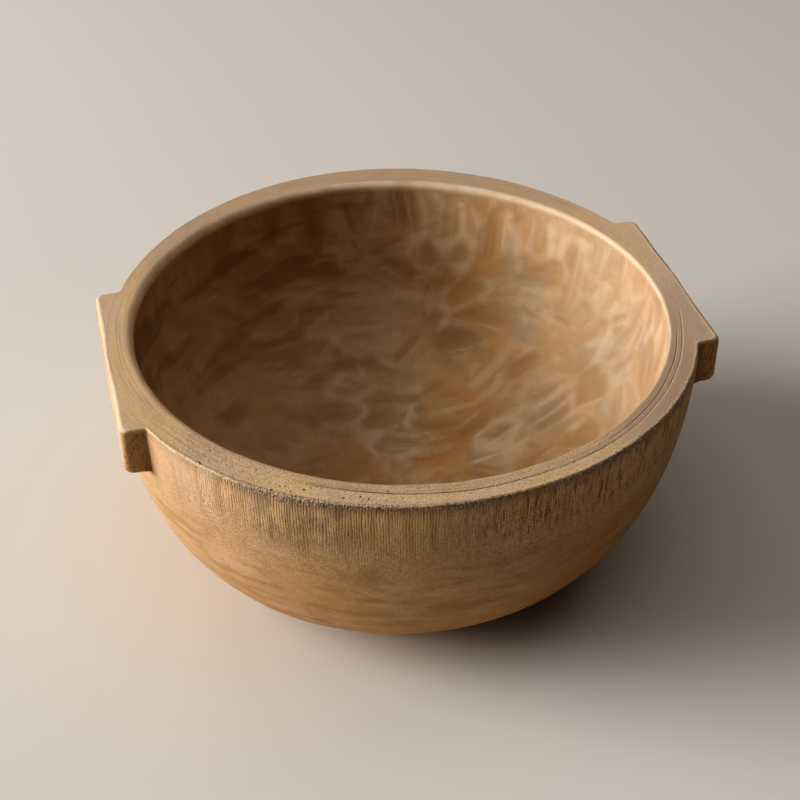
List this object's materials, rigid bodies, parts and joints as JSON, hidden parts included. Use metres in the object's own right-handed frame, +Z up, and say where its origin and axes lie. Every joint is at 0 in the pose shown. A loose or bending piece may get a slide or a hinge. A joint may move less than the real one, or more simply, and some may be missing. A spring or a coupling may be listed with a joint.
{
  "type": "carved wooden bowl",
  "caption": "Round one-piece carved wooden bowl, deep and thick-walled, with a flat rim and a short straight-faced lug left standing on each side of it.",
  "frame": {"origin": "centre of the flat base, on the surface that the bowl rests on", "axes": "+Z up out of the mouth, +X through the middle of one lug, +Y along the lugs' flat faces"},
  "size_m": [0.3, 0.299, 0.135],
  "materials": {
    "wood": "dry waxed, matte, tan brown with darker grain and worn grey edges"
  },
  "bodies": {
    "root": {"carved_bowl": "wood"}
  },
  "joints": []
}
